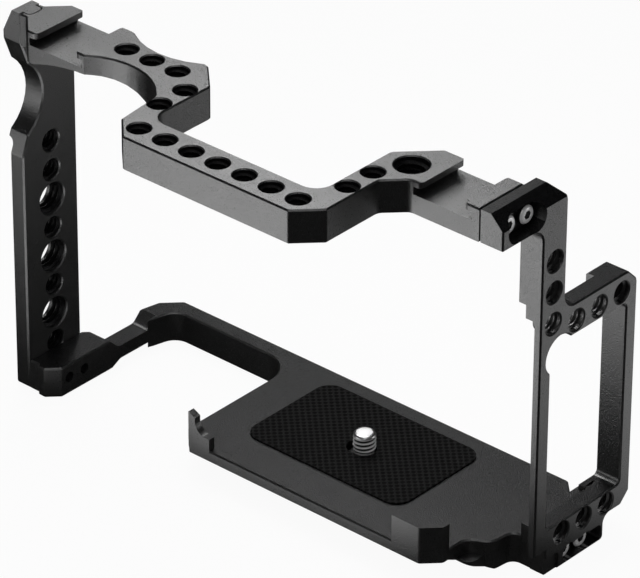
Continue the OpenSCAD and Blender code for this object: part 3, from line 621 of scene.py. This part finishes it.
# Place, what it points at, width and height in metres, watts, spread in degrees
LAMPS = {
    "top_box": ((-0.20, 0.10, 0.45), (-0.02, -0.02, 0.109), (0.25, 0.25), 0.21, 90),
    "back_left_box": ((-0.565, 0.648, 0.54), (-0.02, 0.0, 0.05), (0.18, 0.18), 0.30, 180),
    "front_left_card": ((-0.35, -0.55, 0.10), (-0.02, -0.05, 0.06), (0.45, 0.22), 0.24, 180),
    "back_right_card": ((0.50, 0.45, 0.055), (0.06, 0.0, 0.06), (0.35, 0.11), 0.24, 180),
    "camera_side_box": ((0.6, -0.7, 0.7), (0, 0, 0.05), (0.5, 0.5), 0.8, 180),
    "overhead_box": ((0.05, 0.0, 0.9), (0, 0, 0.05), (0.6, 0.6), 0.9, 180),
}


def graded(f, value, stops):
    """A level that follows stops of (metres, level) along a value."""
    low, high = stops[0][0], stops[-1][0]
    return f.ramp(value.rise(low, high - low),
                  [((at - low) / (high - low), grey(level)) for at, level in stops])


def add_floor():
    """White floor: bright to the camera, lit and shadowed for the object, and to gloss a painted
    glow: a painted reflection with a painted shadow close to the cage.
    """
    corners = np.array([[-1, -1, 0], [1, -1, 0], [1, 1, 0], [-1, 1, 0]], float) * FLOOR_HALF
    corners[:, 2] = cad_box[0][2] - FLOOR_GAP
    mesh = bpy.data.meshes.new("floor")
    mesh.from_pydata(corners.tolist(), [], [(0, 1, 2, 3)])
    floor = linked("floor", mesh)
    f = material("floor_paper")
    fibre = f.noise(FIBRE, 3.0, 0.6)
    matt = f.node("ShaderNodeBsdfDiffuse", {}, {"Color": f.mix(fibre, grey(0.78), grey(0.82))})
    glow = f.node("ShaderNodeEmission", {}, {"Color": grey(1.0), "Strength": 1.0})
    seen, shiny, through = f.rays()
    x, y, _ = f.axes()
    front = (graded(f, y, FRONT_BY_DEPTH) * graded(f, x - y, FRONT_BY_SIDE)
             * graded(f, x, FRONT_BY_WIDTH))
    behind = graded(f, (x + y) * DIAGONAL, BEHIND_BY_REACH) * graded(f, y - x, BEHIND_BY_SIDE)
    shade = f.mix((front + behind + FLOOR_LEAST).clamp(), grey(0.0), grey(1.0))
    # Painted reflection: gloss sees this glow, with painted shadow close to the cage, instead of
    # the lit floor
    painted_reflection_glow = f.node("ShaderNodeEmission", {}, {"Color": shade, "Strength": PAINTED_GLOW_IN_GLOSS})
    lit = f.either((seen * FLOOR_WHITE + through).clamp(), matt, glow)
    dress(floor, f.close(f.either(shiny, lit, painted_reflection_glow)))


def add_lamp(name, place, target, size, power, spread):
    """Rectangular lamp that points at its target."""
    data = bpy.data.lights.new(name, "AREA")
    data.shape, data.size, data.size_y = "RECTANGLE", size[0], size[1]
    data.energy, data.spread = power, np.radians(spread)
    way = (Vector(target) - Vector(place)).to_track_quat("-Z", "Y").to_matrix().to_4x4()
    linked(name, data).matrix_world = Matrix.Translation(place) @ way


def add_world():
    """White to the camera, a plain grey room to the lights and almost nothing to gloss."""
    bpy.context.scene.world = bpy.data.worlds.new("studio")
    f = Nodes(bpy.context.scene.world)
    seen, shiny, _ = f.rays()
    room, glint, white = (f.node("ShaderNodeBackground", {}, {0: grey(1.0), 1: level})
                          for level in (ROOM_LIGHT, ROOM_IN_GLOSS, ROOM_TO_CAMERA))
    f.close(f.either(seen, f.either(shiny, room, glint), white), "ShaderNodeOutputWorld")


add_camera()
add_world()
add_floor()
for name, lamp in LAMPS.items():
    add_lamp(name, *lamp)

# ---------------------------------------------------------------- the cage
black = anodised("black_anodised_satin", SATIN)
# Darker copies of the satin anodising, used as painted shade on up-facing faces and in holes
painted_shade_tops_black = anodised("black_anodised_painted_shade_tops", PAINTED_SHADE_TOPS)
painted_shade_black = anodised("black_anodised_painted_shade", PAINTED_SHADE_AND_CLIP)
painted_shade_holes_black = anodised("black_anodised_painted_shade_in_holes", PAINTED_SHADE_IN_HOLES)
bright = steel("bright_steel", 0.97, 0.5)
# Black steel of the grip post's screws, also used as painted shade on the bright screw heads
dark = steel("black_oxide_steel_and_painted_shade", 0.10, 1.0)
slot_finish = {"black_anodised": black, "bright_steel": bright, "black_steel": dark,
               "spring_steel": anodised("spring_steel", PAINTED_SHADE_AND_CLIP), "black_rubber": woven_rubber()}
for part in frame["record"]["subparts"]:
    dress(frame["nodes"][part["node"]], slot_finish[part["material_slot"]])

# Faces look up where the height of their normal is over the first of these, and above HEAD_Z, in
# millimetres, also where it is over the second. On the base plate and port frame they take a
# darker copy of the anodising as painted shade
LEVEL, SLOPING, HEAD_Z = 0.985, 0.5, 95
# Faces less than this far from upright, and at most this many millimetres outside a bore, are
# the wall of a hole, which in the top plate takes painted shade
UPRIGHT, BY_THE_WALL = 0.5, 0.1


def facing_up(mesh):
    """Which faces look up, for painted shade."""
    up = numbers(mesh.polygons, "normal", 3)[:, 2]
    high = numbers(mesh.polygons, "center", 3)[:, 2] > HEAD_Z * MM
    return (up > LEVEL) | ((up > SLOPING) & high)


def in_top_holes(mesh):
    """Which faces are walls of the top plate's holes, for painted shade."""
    centre, normal = (numbers(mesh.polygons, key, 3) for key in ("center", "normal"))
    inside = np.zeros(len(centre), bool)
    for (x, y, _), _, wall, _, _ in top_bores:
        reach = np.hypot(centre[:, 0] / MM - x, centre[:, 1] / MM - y)
        inside |= reach < wall + BY_THE_WALL
    return inside & (abs(normal[:, 2]) < UPRIGHT)


# Machined pieces with smooth rounds
# Painted shade: darker anodising in the top plate's holes and on up-facing faces of the base plate
# and port frame
painted_shade_by_piece = {"top_plate": (painted_shade_holes_black, in_top_holes), "base_plate": (painted_shade_tops_black, facing_up),
                 "port_frame": (painted_shade_black, facing_up)}
for node in ("top_plate", "grip_post", "base_plate", "port_frame"):
    body = smooth_copy(node, node + "_body", CAGE)
    dress(body, black)
    if node in painted_shade_by_piece:
        second, where = painted_shade_by_piece[node]
        dress(body, black, second, where(body.data))

# Threads of the tapped holes; those in the top plate, grip post and base plate take a darker copy
# of the anodising as painted shade in the holes
for name, bores, finish in (("top_plate_threads", top_bores, painted_shade_holes_black),
                            ("grip_post_threads", post_bores, painted_shade_black),
                            ("port_frame_threads", frame_bores, black),
                            ("base_plate_threads", base_bores, painted_shade_black)):
    ridges = tapped(name, bores)
    dress(ridges, finish)

# Joint screws: bright ones in the port frame, black ones in the grip post
for place in ("head_screw_front", "head_screw_rear", "foot_screw_front", "foot_screw_rear"):
    socket_head("frame_" + place, "bright_steel", 1.0)
for place in ("foot_screw_front", "foot_screw_rear", "head_screw"):
    socket_head("post_" + place, "black_steel", -1.0)

# Camera screw: its threaded shank, on a copy of the solid that ends flat at the thread's foot
stud = build_mesh("camera_screw_thread", *stud_surface())
recalculate(stud)
shade_round(stud, STUD_SHARP)
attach(stud, SCREW)
dress(stud, threaded_steel())
screw_body = smooth_copy("camera_screw", "camera_screw_body", SCREW)
dress(screw_body, bright)
points = numbers(screw_body.data.vertices, "co", 3)
above = points[:, 2] > (STUD_FOOT + OVER_FOOT) * MM
points[above, :2] *= DRAWN_IN
points[above, 2] = STUD_FOOT * MM
screw_body.data.vertices.foreach_set("co", points.ravel())

bpy.context.scene.view_settings.view_transform = "Standard"
